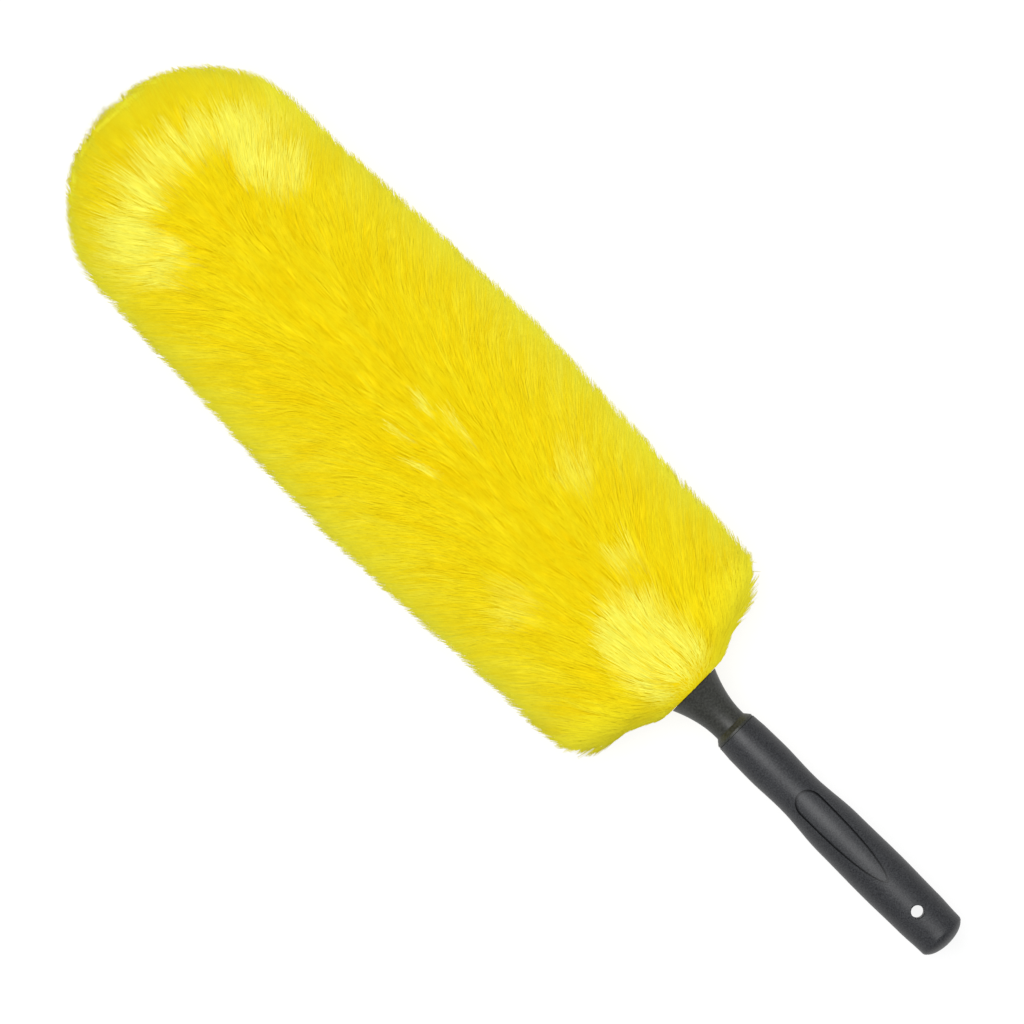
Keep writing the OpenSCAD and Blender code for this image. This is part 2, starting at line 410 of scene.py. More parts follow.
def finish_nodes(finishes):
    """Gives CAD nodes their materials."""
    for node, material in finishes.items():
        materials = frame["nodes"][node].data.materials
        materials.clear()
        materials.append(material)


def on_sleeve(piece, slot, *nodes):
    """Rides a finished piece on the sleeve, in place of the CAD nodes it stands for."""
    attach(piece, "sleeve")
    if nodes:
        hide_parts(*nodes)
    return piece


# ---------------------------------------------------------------- the head's form

HEAD_STEPS, PANEL_SIDES, GUIDE_SIDES = 110, 36, 96
# How much narrower and flatter the head is at its ends, and how quickly it opens from the mouth
END_NARROWING, END_FLATTENING, MOUTH_POWER = 6 * MM, 2 * MM, 2.0
# The cavity in the dense pile: its spread grows from just before the lining's end, and stays flat
SPREAD_FROM, SPREAD_LEN, SPREAD_FLAT = 1 * MM, 14 * MM, 1 * MM
LINING_ROOM, CAVITY_START, HALF_SEAM = 0.5 * MM, 0.3 * MM, 0.15 * MM


def outline(end_half, full_half, inset):
    """The head's side view as (y, half size) from the mouth to the tip, moved in by inset."""
    sizes = bpy.context.scene.duster_pile
    low, high = MOUTH_Y + sizes.mouth_len, TIP_Y - sizes.tip_len
    points = []
    for y in stations(MOUTH_Y, TIP_Y, HEAD_STEPS):
        bulge = math.sin(math.pi * max(0.0, min(1.0, (y - low) / (high - low)))) ** 2
        side = end_half + (full_half - end_half) * bulge
        opened = 1 - (1 - min(1.0, (y - MOUTH_Y) / sizes.mouth_len)) ** MOUTH_POWER
        past = max(0.0, (y - high) / sizes.tip_len)
        rounded = math.sqrt(max(0.0, 1 - past * past))
        points.append(Vector((y, (sizes.mouth_radius + (side - sizes.mouth_radius) * opened) * rounded)))
    moved, travelled = [], 0.0
    for i, point in enumerate(points):
        ahead = points[min(i + 1, HEAD_STEPS)] - points[max(i - 1, 0)]
        out = Vector((-ahead.y, ahead.x)).normalized()
        travelled += (point - points[i - 1]).length if i else 0.0
        moved.append(point - out * inset * ease(travelled / sizes.rim_len))
    moved[-1].y = 0.0
    return moved


def head_rings(inset, sides, start=0.0, turn=math.tau):
    """Oval rows of points round the head, from the mouth to the tip, moved in by inset."""
    wide = outline(HEAD_HALF_W - END_NARROWING, HEAD_HALF_W, inset)
    high = outline(HEAD_HALF_H - END_FLATTENING, HEAD_HALF_H, inset)
    return [[(w.y * c, w.x * c * c + h.x * s * s, h.y * s) for c, s in directions(sides, start, turn)]
            for w, h in zip(wide, high, strict=True)]


def pocket_ring(y, extra, sides, start=0.0, turn=math.tau, room=0.0):
    """A row of points round the pocket for the wire loop at y: gathered at the mouth, flat beyond it."""
    sizes = bpy.context.scene.duster_sleeve
    opened = ease((y - LINING_LOW.y) / sizes.gather_len)
    extra *= ease((y - LINING_LOW.y + SPREAD_FROM) / SPREAD_LEN)
    gathered, flat_extra = sizes.gather_radius, min(extra, SPREAD_FLAT)
    wide = gathered + (LINING_HIGH.x - gathered) * opened + extra + room
    high = gathered + (LINING_HIGH.z - gathered) * opened + flat_extra + room
    end_half = LINING_HIGH.x + extra
    past = min(1.0, max(0.0, (y - (LINING_HIGH.y - LINING_HIGH.x)) / end_half))
    wide *= math.sqrt(1 - past * past)
    high *= (1 - past ** 4) ** 0.25
    squareness = 1.0 / (1.0 + opened)
    return [(wide * squared(c, squareness), y, high * squared(s, squareness))
            for c, s in directions(sides, start, turn)]


def panel_rings(side, inset, cavity):
    """Rows of half rings for one panel's dense pile: out along the head, then back along the pocket."""
    half_turn = (0.0, math.pi * side)
    outer = head_rings(inset, PANEL_SIDES, *half_turn)
    inner = [pocket_ring(y, cavity, PANEL_SIDES, *half_turn, LINING_ROOM)
             for y in stations(MOUTH_Y + CAVITY_START, LINING_HIGH.y + cavity, HEAD_STEPS)]
    shut = HALF_SEAM * side
    return [[(x, y, z + shut) for x, y, z in ring] for ring in (*outer, *reversed(inner))]


def panel_pile(name, side, inset, cavity, material):
    """One panel's dense pile: the head's outside, the pocket's inside and the seam between the panels."""
    rings = panel_rings(side, inset, cavity)

    def build(bm):
        rows = loft(bm, rings, around=False, along=True)
        for i in range(len(rows) // 2 - 1):
            for k in (0, -1):
                bm.faces.new((rows[i][k], rows[i + 1][k], rows[-2 - i][k], rows[-1 - i][k]))

    return new_piece(name, build, material)


# The lie of the pile: it fans out from behind the mouth and before the tip, and splays at the sides
SPLAY_REACH, SPLAY_POWER = 1.15, 1.4
MOUTH_FAN, MOUTH_FAN_FROM, MOUTH_FAN_LEN = 8 * MM, 10 * MM, 55 * MM
TIP_FAN, TIP_FAN_FROM, TIP_FAN_LEN, TIP_FAN_FLAT = 120 * MM, 130 * MM, 60 * MM, 0.5
# How far the pile has grown at the rim, on its lip and beyond it
RIM_GROWTH, LIP_GROWTH, LIP_LEN, FULL_GROWTH = 0.07, 0.15, 2 * MM, 1.1
# The share of the outline's painted light that the mouth has, and where the rest comes in
PAINTED_OUTLINE_AT_MOUTH, PAINTED_OUTLINE_FROM, PAINTED_OUTLINE_LEN = 0.4, 10 * MM, 45 * MM


def pile_guide(inset):
    """The surface that the fibres grow from, with the lie, facing and growth of the pile in each vertex."""
    sizes = bpy.context.scene.duster_pile
    rings = [ring[:-1] for ring in head_rings(inset, GUIDE_SIDES)]
    guide = new_piece("pile_guide", lambda bm: loft(bm, rings))
    mesh = guide.data
    lies, faces, growths, sideways = [], [], [], []
    for v in mesh.vertices:
        x, y, z = v.co
        side = min(1.0, abs(x) / HEAD_HALF_W * SPLAY_REACH)
        angle = math.radians(sizes.splay) * side ** SPLAY_POWER
        from_mouth = Vector((x, y - MOUTH_Y + MOUTH_FAN, z)).normalized()
        middle = Vector((math.copysign(math.sin(angle), x), math.cos(angle), 0.0))
        from_tip = Vector((x, y - TIP_Y + TIP_FAN, TIP_FAN_FLAT * z)).normalized()
        lie = from_mouth.lerp(middle, ease((y - MOUTH_Y - MOUTH_FAN_FROM) / MOUTH_FAN_LEN))
        lie = lie.lerp(from_tip, ease((y - TIP_Y + TIP_FAN_FROM) / TIP_FAN_LEN))
        lie -= lie.dot(v.normal) * v.normal
        lies += list(lie.normalized())
        faces += list(v.normal)
        past_rim = math.hypot(y - MOUTH_Y, math.hypot(x, z) - sizes.mouth_radius)
        lip = LIP_GROWTH * ease(past_rim / LIP_LEN)
        growths.append(min(1.0, RIM_GROWTH + lip + FULL_GROWTH * ease(past_rim / sizes.rim_len)))
        # Painted light along the outline: strongest where the pile faces to the side, and less at the mouth
        off_mouth = (1 - PAINTED_OUTLINE_AT_MOUTH) * ease((y - MOUTH_Y - PAINTED_OUTLINE_FROM) / PAINTED_OUTLINE_LEN)
        sideways.append((1 - abs(v.normal.z)) * (PAINTED_OUTLINE_AT_MOUTH + off_mouth))
    set_attribute(mesh, "lie", lies, "FLOAT_VECTOR")
    set_attribute(mesh, "facing", faces, "FLOAT_VECTOR")
    set_attribute(mesh, "growth", growths)
    set_attribute(mesh, "sideways", sideways)
    set_attribute(mesh, "panel", [1.0 if p.center.z > 0 else 0.0 for p in mesh.polygons], domain="FACE")
    return guide


# ---------------------------------------------------------------- node trees

def new_tree(name, inputs):
    """A Geometry Nodes tree with named inputs, its graph and its inputs as Socks."""
    tree = bpy.data.node_groups.new(name, "GeometryNodeTree")
    tree.interface.new_socket("Geometry", in_out="INPUT", socket_type="NodeSocketGeometry")
    for socket, kind in inputs.items():
        tree.interface.new_socket(socket, in_out="INPUT", socket_type=f"NodeSocket{kind}")
    tree.interface.new_socket("Geometry", in_out="OUTPUT", socket_type="NodeSocketGeometry")
    graph = Graph(tree)
    given = tree.nodes.new("NodeGroupInput")
    return tree, graph, {s.name: Sock(graph, s) for s in given.outputs if s.name}


def end_tree(tree, graph, geometry, material):
    geometry = graph.node("GeometryNodeRealizeInstances", {}, {"Geometry": geometry})
    geometry = graph.node("GeometryNodeSetMaterial", {}, {"Geometry": geometry, "Material": material})
    tree.links.new(geometry.socket, tree.nodes.new("NodeGroupOutput").inputs[0])
    return tree


# Patches of painted sheen: how sharply they end, and how ragged noise and streaks make them
PATCH_EDGE, RAGGED_SCALE, RAGGED_PULL, RAGGED_START, STREAK_RAGS = 1.6, 110.0, 3.2, 0.6, 1.4
# The crescent: its strength, and how far before the tip it and the band outside it, kept free of painted
# sheen, begin
CRESCENT_STRENGTH, CRESCENT_FROM, CRESCENT_RISE = 0.9, 95 * MM, 40.0
BAND_OFF, BAND_RISE, BAND_FROM, BAND_IN = 10 * MM, 140.0, 110 * MM, 60.0
# Streaks of painted sheen, stronger by the sides: where they begin across the head, and how strong they are
EDGE_GAIN, EDGE_START, EDGE_SHARE, MIDDLE_SHARE = 2.2, 0.9, 0.45, 0.1
STREAK_SHARE, STREAK_EDGE, STREAK_EVEN = 1.2, 0.3, 0.05
# Patches keep to the head's faces, and off the rim
FACE_GAIN, FACE_START, RIM_OFF, RIM_RISE = 2.6, 0.6, 1 * MM, 400.0


def painted_sheen_mask(g, root, streak):
    """How much painted sheen a fibre has by its place: ragged patches, and streaks that are stronger by the
    sides.
    """
    x = g.node("ShaderNodeSeparateXYZ", {}, {"Vector": root})
    y, z = x.sibling("Y"), x.sibling("Z")
    ragged = g.node("ShaderNodeTexNoise", {},
                    {"Vector": root, "Scale": RAGGED_SCALE, "Detail": 3.0}, out="Fac")
    total = 0.0
    for across, along, half_wide, half_long, strength in PAINTED_SHEEN_PATCHES:
        near = 1.0 - ((x - across) / half_wide) ** 2 - ((y - along) / half_long) ** 2
        total = total + (near * PATCH_EDGE).clamped() * strength
    ring = (x * x + (y - CRESCENT_Y) * (y - CRESCENT_Y)) ** 0.5
    crescent = (1.0 - ((ring - CRESCENT_R) / CRESCENT_HALF) ** 2).clamped()
    crescent = crescent * ((y - TIP_Y + CRESCENT_FROM) * CRESCENT_RISE).clamped()
    edge = ((x * x) ** 0.5 * (1.0 / HEAD_HALF_W) * EDGE_GAIN - EDGE_START).clamped()
    beyond = ((ring - CRESCENT_R - BAND_OFF) * BAND_RISE).clamped()
    inside = 1.0 - beyond * ((y - TIP_Y + BAND_FROM) * BAND_IN).clamped()
    on_face = ((z * z) ** 0.5 * (FACE_GAIN / HEAD_HALF_H) - FACE_START).clamped()
    off_rim = ((y - MOUTH_Y - RIM_OFF) * RIM_RISE).clamped()
    rags = ragged * RAGGED_PULL - RAGGED_START + streak * STREAK_RAGS
    patches = off_rim * (total + crescent * CRESCENT_STRENGTH) * rags * inside * on_face
    streaks = (streak * STREAK_SHARE + edge * STREAK_EDGE + STREAK_EVEN).clamped()
    return (patches + (edge * EDGE_SHARE + MIDDLE_SHARE) * streaks).clamped()


# Streaks: noise averaged at places along the lie, and spread about its middle
STREAK_SCALE, STREAK_STEP, STREAK_STEPS, STREAK_SPREAD = 330.0, 3.5 * MM, 9, 7.0
# Fibres: the smallest size, and the share and rarity of the longer ones
SIZE_LEAST, SIZE_MORE, SIZE_RARITY = 0.64, 0.4, 2.2
# A fibre's way: the turn of its tuft, the waves of the pile and its own small drift
TUFT_TURN, WAVE_SCALE, WAVE_PULL, OWN_DRIFT = 0.13, 42.0, 1.2, 1.8 * MM
# Fibres sweep less at the rim and at the head's sides
RIM_SWEEP, SIDE_HOLD = 0.15, 0.5
CLUMP_SCALE, CLUMP_LEAST, CLUMP_MORE = 32.0, 0.76, 0.48
# How the sweep, the rise and the taper go along a fibre
SWEEP_POWER, RISE_POWER, TAPER = 1.15, 1.35, 0.75
TUFT_SEED, TURN_SEED = 7, 12


def pile_tree(material):
    """Tapered fibres that leave the guide, follow its lie close over it and gather into tufts."""
    tree, g, value = new_tree("pile_fibres", {
        "Density": "Float", "Panel": "Float", "Tuft density": "Float", "Rise": "Float", "Sweep": "Float",
        "Radius": "Float", "Gather": "Float", "Points": "Int", "Seed": "Int"})

    def named(name, kind="FLOAT"):
        return g.node("GeometryNodeInputNamedAttribute", {"data_type": kind}, {"Name": name})

    def stored(geometry, name, field, kind="FLOAT"):
        return g.node("GeometryNodeStoreNamedAttribute", {"data_type": kind, "domain": "POINT"},
                      {"Geometry": geometry, "Name": name, "Value": field})

    def chance(low, high, seed, kind="FLOAT"):
        return g.node("FunctionNodeRandomValue", {"data_type": kind},
                      {"Min": low, "Max": high, "Seed": seed})

    def scatter(density, seed):
        return g.node("GeometryNodeDistributePointsOnFaces", {"distribute_method": "RANDOM"},
                      {"Mesh": value["Geometry"], "Density": density, "Seed": seed}, out="Points")

    def noise(place_at, scale, out="Fac"):
        return g.node("ShaderNodeTexNoise", {}, {"Vector": place_at, "Scale": scale, "Detail": 1.5}, out=out)

    position = g.node("GeometryNodeInputPosition")
    seed = value["Seed"]
    any_way = (-1.0, -1.0, -1.0), (1.0, 1.0, 1.0)
    tufts = stored(scatter(value["Tuft density"], TUFT_SEED), "turn",
                   chance(*any_way, TURN_SEED, "FLOAT_VECTOR"), "FLOAT_VECTOR")
    here = 1.0 - (named("panel") - value["Panel"]) ** 2
    points = scatter(value["Density"] * here, seed)
    nearest = g.node("GeometryNodeSampleNearest", {"domain": "POINT"},
                     {"Geometry": tufts, "Sample Position": position})

    def of_tuft(field):
        return g.node("GeometryNodeSampleIndex", {"data_type": "FLOAT_VECTOR", "domain": "POINT"},
                      {"Geometry": tufts, "Value": field, "Index": nearest})

    points = stored(points, "root", position, "FLOAT_VECTOR")
    points = stored(points, "to_tuft", g.vector("SUBTRACT", of_tuft(position), position), "FLOAT_VECTOR")
    points = stored(points, "turn", of_tuft(named("turn", "FLOAT_VECTOR")), "FLOAT_VECTOR")
    points = stored(points, "own", chance(*any_way, seed + 1, "FLOAT_VECTOR"), "FLOAT_VECTOR")
    points = stored(points, "size", SIZE_LEAST + chance(0.0, 1.0, seed + 2) ** SIZE_RARITY * SIZE_MORE)
    lie, streak = named("lie", "FLOAT_VECTOR"), 0.0
    for step in range(STREAK_STEPS):
        along = g.scaled(lie, (step - STREAK_STEPS // 2) * STREAK_STEP)
        streak = streak + noise(g.vector("ADD", position, along), STREAK_SCALE)
    points = stored(points, "streak", (streak * (1.0 / STREAK_STEPS) - 0.5) * STREAK_SPREAD)
    shade = chance(-0.12, 0.12, seed + 3) + noise(position, 45.0) + named("streak") * 1.3
    points = stored(points, "shade", shade)
    # Painted sheen, by the fibre's place
    points = stored(points, "pale", painted_sheen_mask(g, position, named("streak")) * chance(0.55, 1.0, seed + 4))
    # The painted light of the outline, carried from the guide to each fibre
    points = stored(points, "fringe", named("sideways"))

    strand = g.node("GeometryNodeResampleCurve", {}, {
        "Curve": g.node("GeometryNodeCurvePrimitiveLine"), "Count": value["Points"]})
    strands = g.node("GeometryNodeInstanceOnPoints", {}, {"Points": points, "Instance": strand})
    strands = g.node("GeometryNodeRealizeInstances", {}, {"Geometry": strands})
    strands = stored(strands, "reach", g.node("GeometryNodeSplineParameter", out="Factor"))

    t, root = named("reach"), named("root", "FLOAT_VECTOR")
    size = named("size") * (CLUMP_LEAST + noise(root, CLUMP_SCALE) * CLUMP_MORE)
    side = g.node("ShaderNodeSeparateXYZ", {}, {"Vector": root}) * (1.0 / HEAD_HALF_W)
    reach_out = (RIM_SWEEP + named("growth") * (1.0 - RIM_SWEEP)) * (1.0 - side ** 4 * SIDE_HOLD)
    waves = g.vector("SUBTRACT", noise(root, WAVE_SCALE, "Color"), (0.5, 0.5, 0.5))
    way = g.vector("ADD", named("lie", "FLOAT_VECTOR"), g.scaled(named("turn", "FLOAT_VECTOR"), TUFT_TURN))
    way = g.vector("ADD", way, g.scaled(waves, WAVE_PULL))
    path = root
    for part in (g.scaled(way, value["Sweep"] * size * reach_out * t ** SWEEP_POWER),
                 g.scaled(named("to_tuft", "FLOAT_VECTOR"), value["Gather"] * t),
                 g.scaled(named("own", "FLOAT_VECTOR"), OWN_DRIFT * t)):
        path = g.vector("ADD", path, part)
    strands = g.node("GeometryNodeSetPosition", {}, {"Geometry": strands, "Position": path})

    def under(field):
        return g.node("GeometryNodeSampleNearestSurface", {"data_type": "FLOAT_VECTOR"},
                      {"Mesh": value["Geometry"], "Value": field, "Sample Position": position}, out="Value")

    strands = stored(strands, "floor", under(position), "FLOAT_VECTOR")
    strands = stored(strands, "facing", under(named("facing", "FLOAT_VECTOR")), "FLOAT_VECTOR")
    height = value["Rise"] * named("growth") * size * (1.0 - (1.0 - t) ** RISE_POWER)
    stand = g.scaled(named("facing", "FLOAT_VECTOR"), height)
    path = g.vector("ADD", named("floor", "FLOAT_VECTOR"), stand)
    strands = g.node("GeometryNodeSetPosition", {}, {"Geometry": strands, "Position": path})
    profile = g.node("GeometryNodeCurvePrimitiveCircle", {"mode": "RADIUS"}, {"Resolution": 3, "Radius": 1.0})
    fibres = g.node("GeometryNodeCurveToMesh", {}, {
        "Curve": strands, "Profile Curve": profile, "Scale": value["Radius"] * (1.0 - TAPER * t ** 2),
        "Fill Caps": True})
    for name in ("root", "to_tuft", "turn", "own", "size", "growth", "lie", "floor", "streak", "sideways"):
        fibres = g.node("GeometryNodeRemoveAttribute", {}, {"Geometry": fibres, "Name": name})
    return end_tree(tree, g, fibres, material)


def stitch_tree(material):
    """Short thread stitches along a path, each one sunk at both ends."""
    tree, g, value = new_tree("stitches", {"Pitch": "Float", "Length": "Float", "Thread": "Float"})
    path = g.node("GeometryNodeMeshToCurve", {}, {"Mesh": value["Geometry"]})
    points = g.node("GeometryNodeCurveToPoints", {"mode": "LENGTH"},
                    {"Curve": path, "Length": value["Pitch"]}, out="Points")
    turn = g.node("FunctionNodeAlignRotationToVector", {"axis": "X"}, {"Vector": points.sibling("Tangent")})
    stitch = g.node("GeometryNodeMeshUVSphere", {}, {"Segments": 6, "Rings": 4, "Radius": 1.0}, out="Mesh")
    size = g.node("ShaderNodeCombineXYZ", {}, {
        "X": value["Length"] * 0.5, "Y": value["Thread"], "Z": value["Thread"]})
    stitches = g.node("GeometryNodeInstanceOnPoints", {}, {
        "Points": points, "Instance": stitch, "Rotation": turn, "Scale": size})
    return end_tree(tree, g, stitches, material)


def grown(source, tree, name, **inputs):
    """The tree's result on source as a plain mesh object."""
    modifier = source.modifiers.new("grow", "NODES")
    modifier.node_group = tree
    for item in tree.interface.items_tree:
        key = item.name.replace(" ", "_")
        if item.in_out == "INPUT" and key in inputs:
            modifier[item.identifier] = inputs[key]
    evaluated = source.evaluated_get(bpy.context.evaluated_depsgraph_get())
    mesh = bpy.data.meshes.new_from_object(evaluated)
    mesh.name = name
    source.modifiers.remove(modifier)
    return in_scene(name, mesh)


def face_with_pile(mesh, share):
    """Turns the fibres' shading towards the pile's own facing, so that they light as one soft surface."""
    count = len(mesh.vertices)
    facing, own = np.empty(count * 3, np.float32), np.empty(count * 3, np.float32)
    mesh.attributes["facing"].data.foreach_get("vector", facing)
    mesh.vertex_normals.foreach_get("vector", own)
    normals = (facing * share + own * (1 - share)).reshape(count, 3)
    normals /= np.maximum(np.linalg.norm(normals, axis=1, keepdims=True), 1e-6)
    mesh.normals_split_custom_set_from_vertices(normals.tolist())
    mesh.attributes.remove(mesh.attributes["facing"])


# ---------------------------------------------------------------- settings

class DusterPile(bpy.types.PropertyGroup):
    """Sizes and colours of the pile."""
    mouth_radius: FloatProperty(name="Mouth radius", description="Radius of the pile's mouth round the neck",
                                default=17.6 * MM, unit="LENGTH")
    mouth_len: FloatProperty(name="Mouth length", default=26 * MM, unit="LENGTH",
                             description="Length over which the mouth opens to full width")
    rim_len: FloatProperty(name="Rim length", description="Length over which the pile grows to full height",
                           default=30 * MM, unit="LENGTH")
    tip_len: FloatProperty(name="Tip length", description="Length of the rounded tip",
                           default=70 * MM, unit="LENGTH")
    inset: FloatProperty(name="Inset", description="Depth of the dense pile under the fibres' ends",
                         default=9 * MM, unit="LENGTH")
    rise: FloatProperty(name="Rise", description="How far a fibre's end stands off the dense pile",
                        default=11 * MM, unit="LENGTH")
    sweep: FloatProperty(name="Sweep", description="How far a fibre's end lies along the pile",
                         default=22 * MM, unit="LENGTH")
    splay: FloatProperty(name="Splay", default=62.0, min=0.0, max=90.0,
                         description="Angle at which the pile lies outwards at the sides, in degrees")
    radius: FloatProperty(name="Fibre radius", description="Radius of a fibre at its root",
                          default=0.27 * MM, unit="LENGTH")
    density: FloatProperty(name="Density", description="Fibres on a square metre of one panel, in each bunch",
                           default=160000.0, min=1000.0)
    bunches: IntProperty(name="Bunches", description="Meshes that each panel's fibres are shared among",
                         default=6, min=1, max=6)
    # Painted light: the pile's emission strength, as a share of its colour
    painted_glow_strength: FloatProperty(name="Glow", description="Light passed on through the pile, as a share of its colour",
                        default=0.5, min=0.0, max=1.0)
    # Painted shade at the fibres' roots; in the dense pile, the deeper end of its streaks and clouds
    root_shade_colour: FloatVectorProperty(name="Root colour", description="Pile colour at the root",
                                     default=(0.542, 0.396, 0.0006), subtype="COLOR")
    pile_colour: FloatVectorProperty(name="Pile colour", description="Main pile colour",
                                     default=(0.572, 0.468, 0.003), subtype="COLOR")
    # Painted light: the lighter, greener colour where the pile faces to the side
    fringe_colour: FloatVectorProperty(name="Fringe colour", description="Pile colour where it turns down",
                                       default=(0.575, 0.545, 0.008), subtype="COLOR")
    # Painted light: the emission colour along the pile's outline
    fringe_light: FloatVectorProperty(name="Fringe light", default=(1.0, 0.93, 0.07), subtype="COLOR",
                                      description="Light passed through the pile's outline")
    # Painted sheen: the lighter colour of the pale patches and streaks
    painted_sheen_colour: FloatVectorProperty(name="Pale colour", description="Colour of the brushed-open patches",
                                     default=(0.615, 0.602, 0.085), subtype="COLOR")


class DusterSleeve(bpy.types.PropertyGroup):
    """Sizes and colours of the sleeve's pocket, tape and gathered hem."""
    gather_radius: FloatProperty(name="Gathered radius", default=16.9 * MM, unit="LENGTH",
                                 description="Radius of the pocket at its gathered mouth")
    gather_len: FloatProperty(name="Gathered length", description="Length over which the pocket opens flat",
                              default=33 * MM, unit="LENGTH")
    cloth_wall: FloatProperty(name="Cloth thickness", description="Thickness of the backing cloth",
                              default=0.9 * MM, unit="LENGTH")
    pleats: IntProperty(name="Pleats", description="Gathers round the elastic hem", default=30, min=6)
    cloth_colour: FloatVectorProperty(name="Cloth colour", description="Backing cloth and hem",
                                      default=(0.76, 0.60, 0.008), subtype="COLOR")
    elastic_colour: FloatVectorProperty(name="Elastic colour", description="Elastic inside the hem",
                                        default=(0.80, 0.78, 0.72), subtype="COLOR")


class DusterHandle(bpy.types.PropertyGroup):
    """Colours of the handle and neck."""
    grip_colour: FloatVectorProperty(name="Grip", description="Colour of the grip",
                                     default=(0.007, 0.0075, 0.010), subtype="COLOR")
    neck_colour: FloatVectorProperty(name="Neck", description="Colour of the neck",
                                     default=(0.0125, 0.013, 0.0105), subtype="COLOR")


class DusterStage(bpy.types.PropertyGroup):
    """The camera and the floor."""
    lens: FloatProperty(name="Lens", description="Focal length in millimetres", default=600.0)
    view_width: FloatProperty(name="View width", description="Width of the view at the handle's axis",
                              default=543.7 * MM, unit="LENGTH")
    roll: FloatProperty(name="Roll", description="Turn of the camera about its line of sight",
                        default=math.radians(-45.2), subtype="ANGLE")
    ahead: FloatProperty(name="Ahead", description="How far past the middle the camera looks",
                         default=11.5 * MM, unit="LENGTH")


# ---------------------------------------------------------------- operators

class DUSTER_OT_stage(bpy.types.Operator):
    """Lay the pale floor, the soft light and the camera."""
    bl_idname = "duster.stage"
    bl_label = "Stage"

    FLOOR_SIZE, FLOOR_DROP = 80.0, 0.3 * MM
    FLOOR_COLOUR, FLOOR_LIGHT, SKY_LIGHT = (0.2, 0.2, 0.2, 1.0), 0.82, 0.5
    WHITE = (1.0, 1.0, 1.0, 1.0)
    KEY_PLACE, KEY_SIZE, KEY_POWER = (-0.07, 0.22, 2.1), 1.3, 45.5
    CAMERA_ASIDE = 1.1 * MM

    def execute(self, context):
        scene = context.scene
        look = scene.duster_stage
        low, high = CAD_BOX
        middle = (low + high) / 2

        bpy.ops.mesh.primitive_plane_add(size=self.FLOOR_SIZE, location=(0.0, 0.0, low.z - self.FLOOR_DROP))
        floor = context.active_object
        floor.name = "floor"
        material, _, shader = new_material("pale_floor")
        shader.inputs["Base Color"].default_value = self.FLOOR_COLOUR
        shader.inputs["Roughness"].default_value = 0.9
        shader.inputs["Specular IOR Level"].default_value = 0.0
        shader.inputs["Emission Color"].default_value = self.WHITE
        shader.inputs["Emission Strength"].default_value = self.FLOOR_LIGHT
        floor.data.materials.append(material)

        scene.world = scene.world or bpy.data.worlds.new("studio")
        scene.world.use_nodes = True
        sky = scene.world.node_tree.nodes["Background"]
        sky.inputs["Color"].default_value = self.WHITE
        sky.inputs["Strength"].default_value = self.SKY_LIGHT
        self.softbox(scene, middle)
        scene.view_settings.view_transform = "Standard"

        camera = bpy.data.objects.new("camera", bpy.data.cameras.new("camera"))
        scene.collection.objects.link(camera)
        camera.data.lens = look.lens
        distance = look.lens / camera.data.sensor_width * look.view_width
        camera.location = (middle.x - self.CAMERA_ASIDE, middle.y + look.ahead, distance)
        camera.rotation_euler = (0.0, 0.0, look.roll)
        scene.camera = camera
        return {"FINISHED"}

    def softbox(self, scene, target):
        """One large soft light, aimed at the target."""
        data = bpy.data.lights.new("key", "AREA")
        data.size, data.energy = self.KEY_SIZE, self.KEY_POWER
        light = bpy.data.objects.new("key", data)
        scene.collection.objects.link(light)
        light.location = target + Vector(self.KEY_PLACE)
        light.rotation_euler = (target - light.location).to_track_quat("-Z", "Y").to_euler()


class DUSTER_OT_handle(bpy.types.Operator):
    """Finish the grip, its end cap and the neck in moulded plastic."""
    bl_idname = "duster.handle"
    bl_label = "Handle"

    def execute(self, context):
        colours = context.scene.duster_handle
        grip = plastic("grip_plastic", opaque(colours.grip_colour), opaque((0.037, 0.039, 0.043)),
                       0.45, 1300.0, 0.25)
        neck = plastic("neck_plastic", opaque(colours.neck_colour), opaque((0.039, 0.041, 0.036)), 0.46)
        finish_nodes({"grip": grip, "end_cap": grip, "neck_socket": neck})
        return {"FINISHED"}


class DUSTER_OT_loop(bpy.types.Operator):
    """Finish the wire loop, its sheath, ferrules and anchor plug."""
    bl_idname = "duster.loop"
    bl_label = "Wire loop"

    def execute(self, context):
        finish_nodes({
            "wire_loop": metal("spring_wire", opaque((0.55, 0.56, 0.58)), 0.3),
            "wire_ferrules": metal("ferrule_metal", opaque((0.75, 0.75, 0.76)), 0.35),
            "loop_sheath": plastic("sheath_vinyl", opaque((0.62, 0.63, 0.64)), opaque((0.72, 0.73, 0.74)),
                                   0.4, 500.0, 0.05),
            "anchor_plug": plastic("plug_plastic", opaque((0.1, 0.1, 0.1)), opaque((0.14, 0.14, 0.14)), 0.5),
        })
        return {"FINISHED"}


